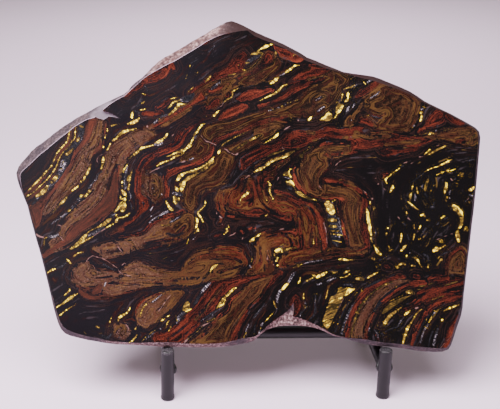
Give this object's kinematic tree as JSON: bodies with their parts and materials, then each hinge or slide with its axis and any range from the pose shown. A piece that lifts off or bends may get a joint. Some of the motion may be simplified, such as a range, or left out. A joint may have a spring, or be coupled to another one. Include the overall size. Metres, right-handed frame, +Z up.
{
  "type": "banded ironstone slab on stand",
  "caption": "Polished slab of folded, banded ironstone with an irregular outline, leaning back on a welded round-rod display stand.",
  "frame": {"origin": "on the floor, under the middle of the bounding box of slab and stand", "axes": "+X along the slab, to the right as seen from the polished face; +Y from the polished face to the back; +Z up"},
  "size_m": [0.3498, 0.1228, 0.2718],
  "materials": {
    "stone": "polished face, rough sawn and broken sides and back",
    "rod_paint": "satin black"
  },
  "bodies": {
    "root": {"ironstone_slab": "stone", "front_leg_left": "rod_paint", "front_leg_right": "rod_paint", "side_rail_left": "rod_paint", "side_rail_right": "rod_paint", "rear_leg_left": "rod_paint", "rear_leg_right": "rod_paint", "heel_bar": "rod_paint", "back_upright_left": "rod_paint", "back_upright_right": "rod_paint"}
  },
  "joints": []
}
